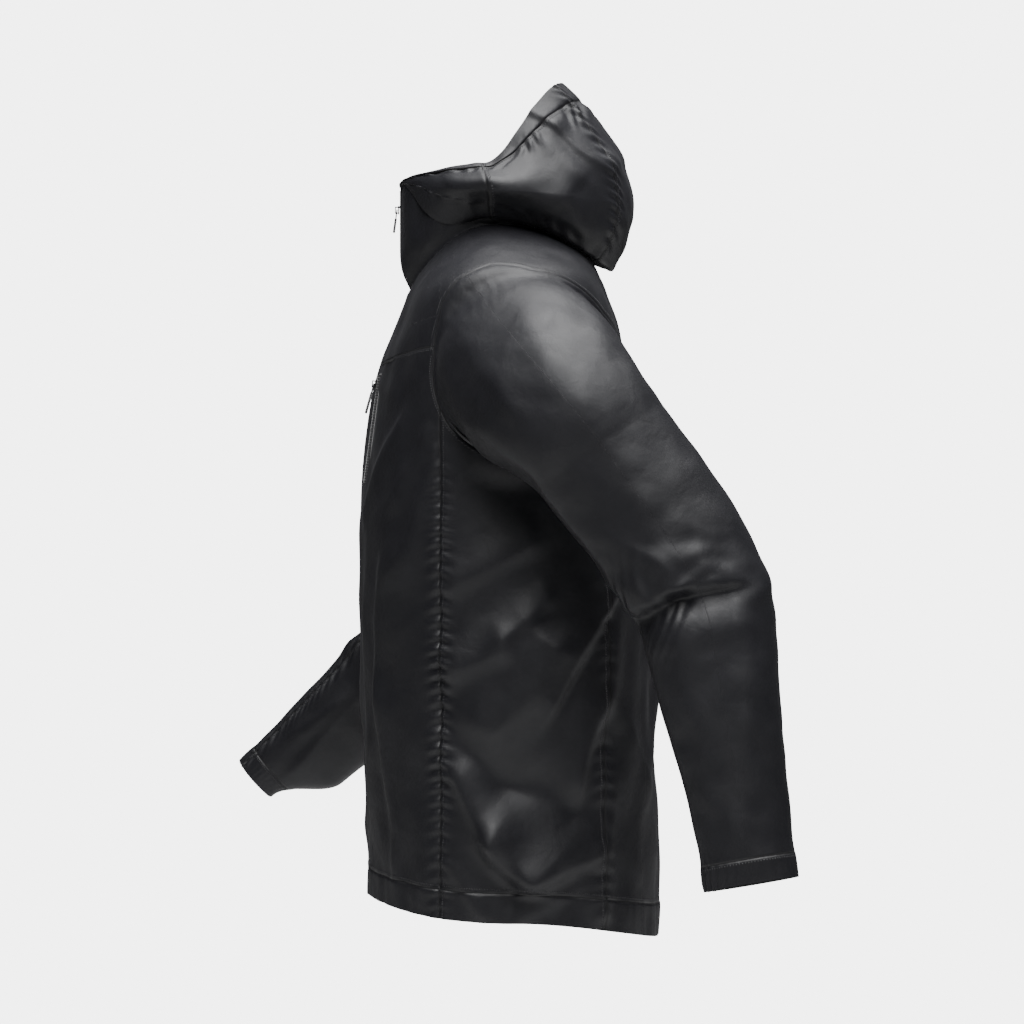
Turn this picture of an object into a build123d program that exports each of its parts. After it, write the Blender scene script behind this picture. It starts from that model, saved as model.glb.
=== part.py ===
"""Hooded shell jacket on an unseen body. Millimetres, +Z up, -Y is the wearer's front, +X the
wearer's left. The origin is at the middle of the neck's base."""
from build123d import *
import math
import os

# ---- driving dimensions -------------------------------------------------------------------
WALL = 2.0               # thickness of a cloth solid
FULLNESS = 2.5           # exponent of the body's superellipse section
ZIP_CHANNEL = 7.0        # half width of the channel between the front edges
HEM_HEIGHT = 28.0
CHEST_SEAM_STATION = 0.735

ARMHOLE_Y = 43.0
ARMHOLE_Z = -126.0
ARMHOLE_RADIUS = 95.0    # radius of the sleeve's round root
ARMHOLE_CLEARANCE = 3.4
SHOULDER_X = 208.0       # plane where the sleeve leaves the body
ELBOW_DROP = 287.0       # from the armhole's centre to the elbow, sleeve hanging straight
ELBOW_BACK = 15.7
FOREARM_LENGTH = 304.0
CUFF_HEIGHT = 24.0
SLEEVE_SPREAD = 8.0      # degrees that the sleeve stands out from the body
ELBOW_WEDGE = 30.0       # degrees of free wedge on each side of the elbow's front
ELBOW_RADIUS = 66.0      # of the elbow zone, about the elbow's axis
ELBOW_HALF_WIDTH = 38.0

LEFT_SWING = 34.4        # degrees back from straight down
LEFT_FOREARM = 9.5
RIGHT_SWING = -20.0
RIGHT_FOREARM = -48.0

SLIDER_Z = 57.0          # height of the main slider at rest
COLLAR_FRONT_Y = -99.0
CHEST_ZIP_X = 72.0
CHEST_ZIP_TOP = -124.0
CHEST_ZIP_BOTTOM = -246.0
CHEST_SLIDER_DROP = 13.0

# station: z front, z side, z back, half width, y front, y back
BODY_STATIONS = [
    (0.00, -688, -708, -738, 198, -133, 181),
    (0.10, -610, -622, -640, 200, -135, 180),
    (0.28, -480, -485, -490, 201, -139, 176),
    (0.44, -340, -342, -345, 203, -142, 170),
    (0.56, -240, -240, -240, 204, -141, 164),
    (0.66, -160, -158, -160, 204, -132, 158),
    (0.735, -114, -96, -112, 203, -121, 150),
    (0.80, -82, -52, -72, 202, -107, 141),
    (0.86, -62, -22, -42, 192, -98, 131),
    (0.91, -48, -4, -18, 164, -92, 121),
    (0.96, -38, 16, 2, 122, -89, 109),
    (1.00, -32, 34, 16, 83, -87, 98),
]
COLLAR_STATIONS = [
    (0.00, -31, 35, 17, 83, -87.5, 98),
    (0.18, -12, 46, 28, 84, -96, 97),
    (0.36, 8, 57, 40, 85, -99, 95),
    (0.70, 50, 80, 58, 85, -99, 92),
    (1.00, 83, 98, 70, 84, -99, 90),
]
# station: z side, z back, half width, y side, y back
HOOD_STATIONS = [
    (0.00, 54, -14, 103, 0, 134),
    (0.12, 60, 14, 110, 0, 149),
    (0.32, 70, 58, 118, -2, 156),
    (0.52, 79, 100, 117, -4, 151),
    (0.72, 87, 138, 110, -6, 133),
    (0.88, 94, 170, 101, -7, 106),
    (1.00, 99, 192, 92, -8, 80),
]
# station: centre x past the shoulder plane, centre z under the armhole's centre, tilt of the
# section in degrees, half width across, half depth front to back, shift back
SLEEVE_STATIONS = [
    (0.00, -110, 0, 90, 95, 95, 0),
    (0.06, 1, 0, 90, 95, 95, 0),
    (0.14, 24, -22, 75, 82, 94, 1),
    (0.22, 42, -40, 60, 72, 91, 3),
    (0.30, 54, -59, 45, 64, 87, 6),
    (0.38, 61, -78, 30, 58, 83, 9),
    (0.46, 64, -96, 15, 54, 80, 12),
    (0.52, 64, -112, 8, 52, 78, 13),
    (0.76, 77, -200, 8, 48, 75, 15),
    (1.00, 89, -287, 8, 44, 72, 15.7),
]
# station (1 is the cuff's end): half width across, half depth
FOREARM_STATIONS = [
    (0.00, 44, 72),
    (0.20, 41, 65),
    (0.45, 36, 58),
    (0.75, 29, 51),
    (1.00, 25, 47.5),
]


# ---- small helpers ------------------------------------------------------------------------
def rows_at(table, station):
    """The table's values at a station, on a smooth curve through its rows."""
    last = len(table) - 2
    index = 0
    while index < last and station > table[index + 1][0]:
        index += 1
    low, high = table[index], table[index + 1]
    before = table[max(index - 1, 0)]
    after = table[min(index + 2, last + 1)]
    span = high[0] - low[0]
    t = (station - low[0]) / span
    values = []
    for k in range(1, len(low)):
        rise = high[k] - low[k]
        slope_in = (high[k] - before[k]) / (high[0] - before[0]) * span
        slope_out = (after[k] - low[k]) / (after[0] - low[0]) * span
        if rise * slope_in <= 0:
            slope_in = 0
        if rise * slope_out <= 0:
            slope_out = 0
        values.append(
            low[k]
            + slope_in * t
            + (3 * rise - 2 * slope_in - slope_out) * t**2
            + (slope_in + slope_out - 2 * rise) * t**3
        )
    return values


def turn_about_x(point, centre_y, centre_z, degrees):
    """Turn a point about a line along X; a positive turn swings what hangs down towards +Y."""
    x, y, z = point
    c, s = math.cos(math.radians(degrees)), math.sin(math.radians(degrees))
    dy, dz = y - centre_y, z - centre_z
    return (x, centre_y + dy * c - dz * s, centre_z + dy * s + dz * c)


def normal_at(surface, u, s):
    """Unit normal of a surface, away from its inside."""
    du, ds = 0.05, 0.0005
    along_u = Vector(*surface(u + du, s)) - Vector(*surface(u - du, s))
    along_s = Vector(*surface(u, s + ds)) - Vector(*surface(u, s - ds))
    return along_u.cross(along_s).normalized()


def constant(value):
    return lambda fraction: value


def cloth_grid(surface, limits, offset, columns, rows, hand):
    """Rows of points on a surface, moved along its normal by an offset."""
    u_from, u_to, s_from, s_to = (
        limit if callable(limit) else constant(limit) for limit in limits
    )
    s_ends = [(s_from(c / columns), s_to(c / columns)) for c in range(columns + 1)]
    points = []
    for row in range(rows + 1):
        t = row / rows
        u_low, u_high = u_from(t), u_to(t)
        line = []
        for column, (s_low, s_high) in enumerate(s_ends):
            i = column / columns
            u, s = u_low + (u_high - u_low) * i, s_low + (s_high - s_low) * t
            depth = offset(i, t) if callable(offset) else offset
            line.append(Vector(*surface(u, s)) + normal_at(surface, u, s) * (depth * hand))
        points.append(line)
    return points


def cloth(
    surface, u_from, u_to, s_from, s_to, outer=0.0, inner=-WALL, columns=14, rows=14, hand=1
):
    """A closed cloth solid on a surface. The limits are numbers or functions of the fraction
    along the other side; outer and inner are offsets along the normal, or functions of both.
    A surface mirrored to the wearer's right has hand -1. Rows of the skins are joined by
    straight rulings, which can't ripple."""
    limits = (u_from, u_to, s_from, s_to)
    grids = [
        cloth_grid(surface, limits, offset, columns, rows, hand) for offset in (outer, inner)
    ]
    curves = [[Edge.make_spline(line) for line in points] for points in grids]
    faces = []
    for skin in curves:
        faces += [Face.make_surface_from_curves(a, b) for a, b in zip(skin, skin[1:])]
    for end in (0, -1):
        faces.append(Face.make_surface_from_curves(curves[0][end], curves[1][end]))
        for row in range(rows):
            borders = [
                Edge.make_line(points[row][end], points[row + 1][end]) for points in grids
            ]
            faces.append(Face.make_surface_from_curves(*borders))
    return Solid(Shell(faces))


# ---- the jacket's surfaces ----------------------------------------------------------------
def ring_point(angle, z_front, z_side, z_back, half_width, y_front, y_back, fullness):
    """A point of a body ring: angle 0 is the front, 90 the wearer's left, 180 the back."""
    c, s = math.cos(math.radians(angle)), math.sin(math.radians(angle))
    reach = (abs(c) ** fullness + abs(s) ** fullness) ** (-1 / fullness)
    z_end = z_front if c > 0 else z_back
    middle, half_depth = (y_front + y_back) / 2, (y_back - y_front) / 2
    return (
        half_width * reach * s,
        middle - half_depth * reach * c,
        z_side + (z_end - z_side) * c * c,
    )


def body(angle, station):
    return ring_point(angle, *rows_at(BODY_STATIONS, station), FULLNESS)


def collar(angle, station):
    return ring_point(angle, *rows_at(COLLAR_STATIONS, station), 2.0)


def hood(angle, station):
    """Angle 90 is the left front edge, 180 the nape's middle, 270 the right front edge."""
    z_side, z_back, half_width, y_side, y_back = rows_at(HOOD_STATIONS, station)
    c = -math.cos(math.radians(angle))
    c = max(c, 0.0)
    low_edge = c**1.5
    high_edge = c * c * (3 - 2 * c)
    rise = low_edge + (high_edge - low_edge) * station
    return (
        half_width * math.sin(math.radians(angle)),
        y_side + (y_back - y_side) * c,
        z_side + (z_back - z_side) * rise,
    )


def sleeve_frame(side):
    """Swing and forearm angle of a side: 1 is the wearer's left, -1 the right."""
    return (LEFT_SWING, LEFT_FOREARM) if side > 0 else (RIGHT_SWING, RIGHT_FOREARM)


def elbow_centre(side):
    x = SHOULDER_X + SLEEVE_STATIONS[-1][1]
    hanging = (x, ARMHOLE_Y + ELBOW_BACK, ARMHOLE_Z - ELBOW_DROP)
    x, y, z = turn_about_x(hanging, ARMHOLE_Y, ARMHOLE_Z, sleeve_frame(side)[0])
    return (side * x, y, z)


def upper_sleeve(side):
    """Surface of the upper sleeve: angle 0 is the outside, 90 the front, 180 the body's side."""
    swing = sleeve_frame(side)[0]

    def surface(angle, station):
        out, down, tilt, half_width, half_depth, back = rows_at(SLEEVE_STATIONS, station)
        c, s = math.cos(math.radians(angle)), math.sin(math.radians(angle))
        lean = math.radians(tilt)
        hanging = (
            SHOULDER_X + out + half_width * c * math.cos(lean),
            ARMHOLE_Y + back - half_depth * s,
            ARMHOLE_Z + down + half_width * c * math.sin(lean),
        )
        x, y, z = turn_about_x(hanging, ARMHOLE_Y, ARMHOLE_Z, swing)
        return (side * x, y, z)

    return surface


def forearm(side):
    """Surface of the forearm, with the same angles; station 0 is the elbow, 1 the cuff's end."""
    turn = sleeve_frame(side)[1]
    elbow_x, elbow_y, elbow_z = elbow_centre(side)
    spread = math.radians(SLEEVE_SPREAD)

    def surface(angle, station):
        half_width, half_depth = rows_at(FOREARM_STATIONS, station)
        c, s = math.cos(math.radians(angle)), math.sin(math.radians(angle))
        down = FOREARM_LENGTH * station
        hanging = (
            abs(elbow_x) + down * math.tan(spread) + half_width * c * math.cos(spread),
            elbow_y - half_depth * s,
            elbow_z - down + half_width * c * math.sin(spread),
        )
        x, y, z = turn_about_x(hanging, elbow_y, elbow_z, turn)
        return (side * x, y, z)

    return surface


def elbow_zone(side):
    """Surface of revolution about the elbow's axis; station runs up along the upper sleeve."""
    swing = sleeve_frame(side)[0]
    elbow_x, elbow_y, elbow_z = elbow_centre(side)

    def surface(angle, station):
        c, s = math.cos(math.radians(angle)), math.sin(math.radians(angle))
        rise = 88.0 * (0.5 - station)
        squeeze = math.sqrt(1 - (rise / ELBOW_RADIUS) ** 2)
        hanging = (
            abs(elbow_x) + ELBOW_HALF_WIDTH * squeeze * c,
            elbow_y - ELBOW_RADIUS * squeeze * s,
            elbow_z + rise,
        )
        x, y, z = turn_about_x(hanging, elbow_y, elbow_z, swing)
        return (side * x, y, z)

    return surface


def angle_at_x(surface, station, x):
    """The angle, from the front middle, where a ring of the surface has this x."""
    low, high = 0.0, 80.0
    for _ in range(40):
        middle = (low + high) / 2
        if surface(middle, station)[0] < abs(x):
            low = middle
        else:
            high = middle
    return math.copysign((low + high) / 2, x)


def angle_at_y(station, y):
    """The angle on the wearer's left where the body's ring has this y."""
    low, high = 0.0, 180.0
    for _ in range(40):
        middle = (low + high) / 2
        if body(middle, station)[1] < y:
            low = middle
        else:
            high = middle
    return (low + high) / 2


# ---- body panels --------------------------------------------------------------------------
SIDE_SEAM_Y = -52.0      # the side seam lies in front of the body's side
BACK_SEAM_Y = 122.0      # the seam between side panel and back panel
HEM_STATION = 0.036      # top of the hem band
TOP_STATION = 0.999


def between(low, high):
    """A limit that runs from one station to another."""
    return lambda t: low + (high - low) * t


def seam_angle(y, s_low, s_high, side, gap):
    station = between(s_low, s_high)
    return lambda t: side * (angle_at_y(station(t), y) + gap)


def channel_edge(surface, s_low, s_high, side, x=ZIP_CHANNEL):
    station = between(s_low, s_high)
    return lambda t: angle_at_x(surface, station(t), side * x)


def armholes():
    """The two round openings that the sleeves' roots stand in."""
    for side in (1, -1):
        centre = Plane(origin=(side * 170, ARMHOLE_Y, ARMHOLE_Z), z_dir=(side, 0, 0))
        yield centre * Cylinder(ARMHOLE_RADIUS + ARMHOLE_CLEARANCE, 160)


def with_armholes(solid, *sides):
    """The panel without the armholes of these sides, and without slivers that they cut off."""
    for side, hole in zip((1, -1), armholes()):
        if side in sides:
            solid = solid - hole
    return max(solid.solids(), key=lambda piece: piece.volume)


def side_name(side):
    return "left" if side > 0 else "right"


def mirror_for(side, solid):
    return solid if side > 0 else mirror(solid, Plane.YZ)


def body_panels():
    gap = 0.1
    chest = CHEST_SEAM_STATION
    parts = {}
    for side in (1, -1):
        name = side_name(side)
        front = cloth(
            body,
            channel_edge(body, HEM_STATION, chest, 1),
            seam_angle(SIDE_SEAM_Y, HEM_STATION, chest, 1, -gap),
            HEM_STATION + 0.0005, chest - 0.0015, rows=22,
        )
        yoke = cloth(
            body,
            channel_edge(body, chest, TOP_STATION, 1),
            90 - gap,
            chest + 0.0015, TOP_STATION, rows=18,
        )
        flank = cloth(
            body,
            seam_angle(SIDE_SEAM_Y, HEM_STATION, chest, 1, gap),
            seam_angle(BACK_SEAM_Y, HEM_STATION, chest, 1, -gap),
            HEM_STATION + 0.0005, chest - 0.0015, rows=22,
        )
        if side > 0:
            front = front - chest_zip_slot()
        parts[f"front_{name}_panel"] = mirror_for(side, with_armholes(front, 1))
        parts[f"front_{name}_yoke"] = mirror_for(side, with_armholes(yoke, 1))
        parts[f"side_{name}_panel"] = mirror_for(side, with_armholes(flank, 1))
    parts["back_panel"] = with_armholes(cloth(
        body,
        seam_angle(BACK_SEAM_Y, HEM_STATION, chest, 1, gap),
        lambda t: 360 - seam_angle(BACK_SEAM_Y, HEM_STATION, chest, 1, gap)(t),
        HEM_STATION + 0.0005, chest - 0.0015, rows=22,
    ), 1, -1)
    parts["back_yoke"] = with_armholes(cloth(
        body, 90 + gap, 270 - gap, chest + 0.0015, TOP_STATION, columns=28, rows=18,
    ), 1, -1)
    hem_edge = angle_at_x(body, 0.02, ZIP_CHANNEL)
    parts["hem_band"] = cloth(
        body, hem_edge, 360 - hem_edge, 0.0, HEM_STATION - 0.0005, columns=48, rows=3,
    )
    return parts


def seam_tapes():
    """Tape welded over each side seam, inside the shell."""
    tapes = []
    for side in (1, -1):
        tape = cloth(
            body,
            seam_angle(SIDE_SEAM_Y - 10, HEM_STATION + 0.01, 0.55, 1, 0),
            seam_angle(SIDE_SEAM_Y + 10, HEM_STATION + 0.01, 0.55, 1, 0),
            HEM_STATION + 0.01, 0.55, outer=-WALL - 0.3, inner=-WALL - 0.8, columns=3, rows=18,
        )
        tapes.append(mirror_for(side, tape))
    return Compound(children=tapes)


# ---- collar and hood ----------------------------------------------------------------------
def collar_pieces():
    parts = {}
    for side in (1, -1):
        half = cloth(collar, channel_edge(collar, 0, 1, 1), 89.6, 0.0, 1.0, columns=14, rows=14)
        parts[f"collar_{side_name(side)}"] = mirror_for(side, half)
    parts["collar_back"] = cloth(collar, 90.1, 269.9, 0.0, 1.0, columns=20, rows=10)
    return parts


def hood_pieces():
    brow = 0.86           # station where the brim panel starts
    strip = 30.0          # half angle of the centre panel
    edge = 0.975          # station where the binding starts
    parts = {
        "hood_left_side": cloth(hood, 90.1, 180 - strip - 0.35, 0.0, edge - 0.002),
        "hood_right_side": cloth(hood, 180 + strip + 0.35, 269.9, 0.0, edge - 0.002),
        "hood_centre_panel": cloth(hood, 180 - strip, 180 + strip, 0.0, brow - 0.002),
        "hood_brim": cloth(hood, 180 - strip, 180 + strip, brow, edge - 0.002, inner=-WALL - 0.8),
        "hood_edge_binding": cloth(
            hood, 90.1, 269.9, edge, 1.0, outer=0.6, inner=-WALL - 0.6, columns=36, rows=2,
        ),
    }
    return parts


# ---- sleeves ------------------------------------------------------------------------------
SEAM_ANGLE = 135.0       # the sleeve's long seam runs at the front of its inner side
SEAM_HALF_SLIT = 0.15    # degrees left open on each side of that seam
ROOT_STATIONS = 0.06     # the sleeve's root is a plain cylinder up to this station
UPPER_AXIS_LENGTH = 362.0


def around(fraction):
    """Sleeve angle at a fraction of the way round, from one edge of the seam to the other."""
    return SEAM_ANGLE + SEAM_HALF_SLIT + (360 - 2 * SEAM_HALF_SLIT) * fraction


def body_x_at(y, z):
    """Where the body's left wall stands at a given y and z."""
    low, high = 0.4, 0.99
    for _ in range(24):
        station = (low + high) / 2
        angle = angle_at_y(station, y)
        if body(angle, station)[2] < z:
            low = station
        else:
            high = station
    return body(angle_at_y(low, y), low)[0]


def root_start(side):
    """Station of the sleeve's root at each fraction: a little inside the body's wall at rest."""
    surface = upper_sleeve(side)
    inset = 6.0

    def start(fraction):
        _, y, z = surface(around(fraction), ROOT_STATIONS)
        wanted = min(body_x_at(y, z), SHOULDER_X) - inset
        low, high = 0.0, ROOT_STATIONS
        for _ in range(30):
            middle = (low + high) / 2
            if abs(surface(around(fraction), middle)[0]) < wanted:
                low = middle
            else:
                high = middle
        return (low + high) / 2

    return start


def elbow_rim(side, surface, upper):
    """Station of the wedge-shaped rim at the elbow, for a fraction round the sleeve."""
    _, elbow_y, elbow_z = elbow_centre(side)
    swing, lower_turn = sleeve_frame(side)
    turn = swing if upper else lower_turn
    sign = 1 if upper else -1
    length = UPPER_AXIS_LENGTH if upper else FOREARM_LENGTH
    rim_gap = 0.4

    def rim(fraction):
        station = 1.0 if upper else 0.0
        for _ in range(8):
            point = surface(around(fraction), station)
            _, y, z = turn_about_x(point, elbow_y, elbow_z, -turn)
            wedge = max(0.0, elbow_y - y) * math.tan(math.radians(ELBOW_WEDGE))
            station -= sign * (rim_gap + wedge - sign * (z - elbow_z)) / length
        return station

    return rim


def half_of(limit, which):
    """A limit for the whole way round the sleeve, as one for its first or second half."""
    return lambda fraction: limit((fraction + which) / 2)


def upper_sleeve_panels(side):
    """The under panel and the top panel, sewn together along the front and the back."""
    surface, name = upper_sleeve(side), side_name(side)
    start, rim = root_start(side), elbow_rim(side, surface, True)
    back_seam = around(0.5)
    spans = {
        "under_sleeve": (around(0), back_seam - SEAM_HALF_SLIT, 0),
        "top_sleeve": (back_seam + SEAM_HALF_SLIT, around(1), 1),
    }
    return {
        f"{name}_{label}": cloth(
            surface, low, high, half_of(start, which), half_of(rim, which),
            columns=18, rows=18, hand=side,
        )
        for label, (low, high, which) in spans.items()
    }


def sleeve_pieces(side):
    name = side_name(side)
    lower = forearm(side)
    ends = (around(0), around(1))
    cuff = 1 - CUFF_HEIGHT / FOREARM_LENGTH
    return upper_sleeve_panels(side) | {
        f"{name}_elbow_panel": cloth(
            elbow_zone(side), *ends, 0.0, 1.0, columns=30, rows=6, hand=side,
        ),
        f"{name}_forearm": cloth(
            lower, *ends, elbow_rim(side, lower, False), cuff - 0.001,
            columns=30, rows=8, hand=side,
        ),
        f"{name}_cuff_band": cloth(lower, *ends, cuff, 1.0, columns=30, rows=1, hand=side),
        f"{name}_cuff_elastic": cloth(
            lower, *ends, cuff + 0.02, 0.985,
            outer=-WALL - 0.3, inner=-WALL - 1.5, columns=30, rows=1, hand=side,
        ),
    }


# ---- main zip -----------------------------------------------------------------------------
COIL_GAP = 0.7           # half of the gap between the two coils
COIL_WIDTH = 2.2
TAPE_DEPTH = 2.3         # the tape lies behind the front edges
TAPE_THICKNESS = 0.8
BRIDGE_HEIGHT = 3.4      # of the slider's bridge over the zip's face
PULL_ANGLE = 8.0         # degrees that a pull hangs away from the cloth


def front_line(x, station):
    """The cloth by the centre front: stations 0 to 1 up the body, 1 to 2 up the collar."""
    surface, place = (body, station) if station <= 1 else (collar, station - 1)
    return surface(angle_at_x(surface, place, x), place)


def front_strip(x_from, x_to, s_from, s_to, outer, inner, rows=30):
    """A narrow strip along the centre front."""
    return cloth(front_line, x_from, x_to, s_from, s_to, outer, inner, columns=2, rows=rows)


def front_run(x_from, x_to, s_from, s_to, outer, inner):
    """A strip up the body and the collar, in two lengths that meet at the neck's seam."""
    below = front_strip(x_from, x_to, s_from, 0.998, outer, inner)
    above = front_strip(x_from, x_to, 1.004, s_to, outer, inner, rows=14)
    return Compound(children=[below, above])


def main_zip():
    parts = {}
    coil_back = -TAPE_DEPTH + 0.3
    for side in (1, -1):
        tape = front_run(1.4, 15.0, 0.006, 1.97, -TAPE_DEPTH, -TAPE_DEPTH - TAPE_THICKNESS)
        coil = front_run(COIL_GAP, COIL_GAP + COIL_WIDTH, 0.03, 1.93, 0.4, coil_back)
        parts[f"main_zip_{side_name(side)}_tape"] = mirror_for(side, tape)
        parts[f"main_zip_{side_name(side)}_coil"] = mirror_for(side, coil)
    stop = front_strip(0.8, 3.2, 1.935, 1.955, 0.5, coil_back, rows=1)
    parts["main_zip_top_stops"] = Compound(children=[stop, mirror_for(-1, stop)])
    parts["main_zip_pin"] = front_strip(0.5, 2.6, 0.004, 0.029, 0.6, coil_back, rows=2)
    box = front_strip(0.2, 4.6, 0.004, 0.029, 1.0, coil_back, rows=2)
    parts["main_zip_retainer_box"] = mirror_for(-1, box)
    half_flap = front_run(0.1, 18.0, 0.05, 1.95, -6.4, -7.4)
    parts["wind_flap"] = Compound(children=[half_flap, mirror_for(-1, half_flap)])
    return parts


FACE_HEIGHT = 1.2        # from the cloth's outer face to the slider's front plate
PLATE = 1.0
PIVOT_HEIGHT = 3.5       # of the pull's pivot over the cloth
SLIDER_LENGTH = 9.0
SLIDER_HALF_WIDTH = 4.4


def slider(place):
    """A zip slider on a plane whose X runs across the zip, Y up it and Z out of the cloth."""
    back_face = -TAPE_DEPTH - TAPE_THICKNESS - 0.4
    plate = Box(2 * SLIDER_HALF_WIDTH, SLIDER_LENGTH, PLATE)
    depth = FACE_HEIGHT - back_face
    foot = Box(1.8, 1.2, 3.0)
    shape = (
        Pos(0, 0, FACE_HEIGHT + PLATE / 2) * plate
        + Pos(0, 0, back_face - PLATE / 2) * plate
        + Pos(0, SLIDER_LENGTH / 2 - 1.2, FACE_HEIGHT - depth / 2) * Box(0.7, 2.4, depth + 0.4)
        + Pos(0, 3.2, FACE_HEIGHT + PLATE + 1.4) * foot
        + Pos(0, -3.2, FACE_HEIGHT + PLATE + 1.4) * foot
        + Pos(0, 0, 5.3) * Box(1.8, 7.6, 1.0)
    )
    return place * shape


def pull_place(place):
    return place * Pos(0, 0, PIVOT_HEIGHT) * Rot(X=-PULL_ANGLE)


def pull_frame(place):
    """The pull's metal frame: a pin through the slider's bridge, two arms and a shank."""
    arm = Box(1.2, 6.2, 1.2)
    shape = (
        Rot(Y=90) * Cylinder(0.7, 5.6)
        + Pos(2.2, -2.9, 0) * arm
        + Pos(-2.2, -2.9, 0) * arm
        + Pos(0, -7.2, 0) * Box(5.6, 4.0, 1.2)
    )
    return pull_place(place) * shape


def pull_grip(place, length):
    """The moulded grip on the end of the pull's frame."""
    outline = Rectangle(5.0, length)
    outline = fillet(outline.vertices(), 2.0)
    grip = extrude(outline, 2.4)
    grip = Pos(0, -9.2 - length / 2, -1.2) * grip
    return pull_place(place) * fillet(grip.edges().group_by(Axis.Z)[-1], 0.8)


def main_slider_place():
    return Plane(origin=(0, COLLAR_FRONT_Y, SLIDER_Z), x_dir=(1, 0, 0), z_dir=(0, -1, 0))


# ---- chest pocket -------------------------------------------------------------------------
POCKET_SLOT_HALF_WIDTH = 6.0
POCKET_DEPTH = 16.0


def station_at_z(x, z):
    """The body's station where its front has this x and z."""
    low, high = 0.3, 0.9
    for _ in range(40):
        middle = (low + high) / 2
        if body(angle_at_x(body, middle, x), middle)[2] < z:
            low = middle
        else:
            high = middle
    return (low + high) / 2


def chest_zip_place():
    """Plane on the chord of the pocket's zip: X across it, Y up it, Z out of the chest."""
    ends = []
    for z in (CHEST_ZIP_BOTTOM, CHEST_ZIP_TOP):
        station = station_at_z(CHEST_ZIP_X, z)
        ends.append(Vector(*body(angle_at_x(body, station, CHEST_ZIP_X), station)))
    middle = (ends[0] + ends[1]) * 0.5
    station = station_at_z(CHEST_ZIP_X, middle.Z)
    outward = normal_at(body, angle_at_x(body, station, CHEST_ZIP_X), station)
    up = (ends[1] - ends[0]).normalized()
    across = up.cross(outward).normalized()
    return Plane(origin=middle, x_dir=across, z_dir=across.cross(up)), (ends[1] - ends[0]).length


def chest_zip_slot():
    place, length = chest_zip_place()
    return place * Box(2 * POCKET_SLOT_HALF_WIDTH, length, 24)


def chest_slider_place():
    place, length = chest_zip_place()
    return place * Plane(origin=(0, length / 2 - CHEST_SLIDER_DROP, 0))


def chest_pocket():
    place, length = chest_zip_place()
    tapes, coils = [], []
    for side in (1, -1):
        tape = Box(7.0, length - 2, TAPE_THICKNESS)
        tapes.append(place * Pos(side * 4.9, 0, -TAPE_DEPTH - TAPE_THICKNESS / 2) * tape)
        coil = Box(COIL_WIDTH, length - 6, TAPE_DEPTH + 0.1)
        coils.append(place * Pos(side * (COIL_GAP + COIL_WIDTH / 2), 0, -0.75) * coil)

    def bulge(i, t):
        return -2.6 - POCKET_DEPTH * (1 - (2 * i - 1) ** 6) * (1 - (2 * t - 1) ** 6)

    low, high = 0.462, CHEST_SEAM_STATION - 0.003
    bag = cloth(
        body, channel_edge(body, low, high, 1, 42.0), channel_edge(body, low, high, 1, 138.0),
        low, high, outer=bulge, inner=lambda i, t: bulge(i, t) - 1.2, columns=20, rows=24,
    )
    return {
        "chest_zip_tapes": Compound(children=tapes),
        "chest_zip_coils": Compound(children=coils),
        "chest_pocket_bag": bag,
    }


# ---- cord locks, cords and hang loop ------------------------------------------------------
BARREL_RADIUS = 6.0
BARREL_HEIGHT = 18.0
BORE_RADIUS = 4.6
PLUNGER_RADIUS = 4.3
CORD_HEIGHT = 10.5       # of the cord over the barrel's bottom
CORD_HOLE_RADIUS = 2.4
LOCK_DEPTH = 9.4         # the lock's axis lies this far inside the shell's surface
CORD_THICKNESS = 2.5
SPRING_RADIUS = 2.6
SPRING_WIRE = 0.6


def cord_lock(surface, angle, station):
    """Barrel, plunger and spring of a sprung cord lock, standing inside a surface."""
    out = normal_at(surface, angle, station)
    flat_out = Vector(out.X, out.Y, 0).normalized()
    centre = Vector(*surface(angle, station)) - out * LOCK_DEPTH
    base = centre - Vector(0, 0, CORD_HEIGHT)
    place = Plane(origin=base, x_dir=flat_out, z_dir=(0, 0, 1))
    bottom = (Align.CENTER, Align.CENTER, Align.MIN)
    hole = Pos(0, 0, CORD_HEIGHT) * Rot(X=90) * Cylinder(CORD_HOLE_RADIUS, 20)
    barrel = Cylinder(BARREL_RADIUS, BARREL_HEIGHT, align=bottom)
    barrel -= Pos(0, 0, 2) * Cylinder(BORE_RADIUS, BARREL_HEIGHT, align=bottom)
    barrel -= hole
    plunger = Pos(0, 0, 7) * Cylinder(PLUNGER_RADIUS, 14.5, align=bottom)
    plunger -= Pos(0, 0, 11.9) * Box(2 * CORD_HOLE_RADIUS, 20, 6.4)
    coil = Helix(pitch=1.25, height=4.2, radius=SPRING_RADIUS)
    wire = Plane(origin=coil @ 0, z_dir=coil % 0) * Circle(SPRING_WIRE / 2)
    spring = Pos(0, 0, 2.4) * sweep(wire, path=coil)
    return place * barrel, place * plunger, place * spring


HEM_CORD_STATION = 0.018
HOOD_CORD_STATION = 0.36


def lock_places():
    """Name, surface, angle and station of each cord lock."""
    seam = angle_at_y(HEM_CORD_STATION, SIDE_SEAM_Y - 26)
    return [
        ("left_hem", body, seam, HEM_CORD_STATION),
        ("right_hem", body, 360 - seam, HEM_CORD_STATION),
        ("hood", hood, 180, HOOD_CORD_STATION),
    ]


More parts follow.
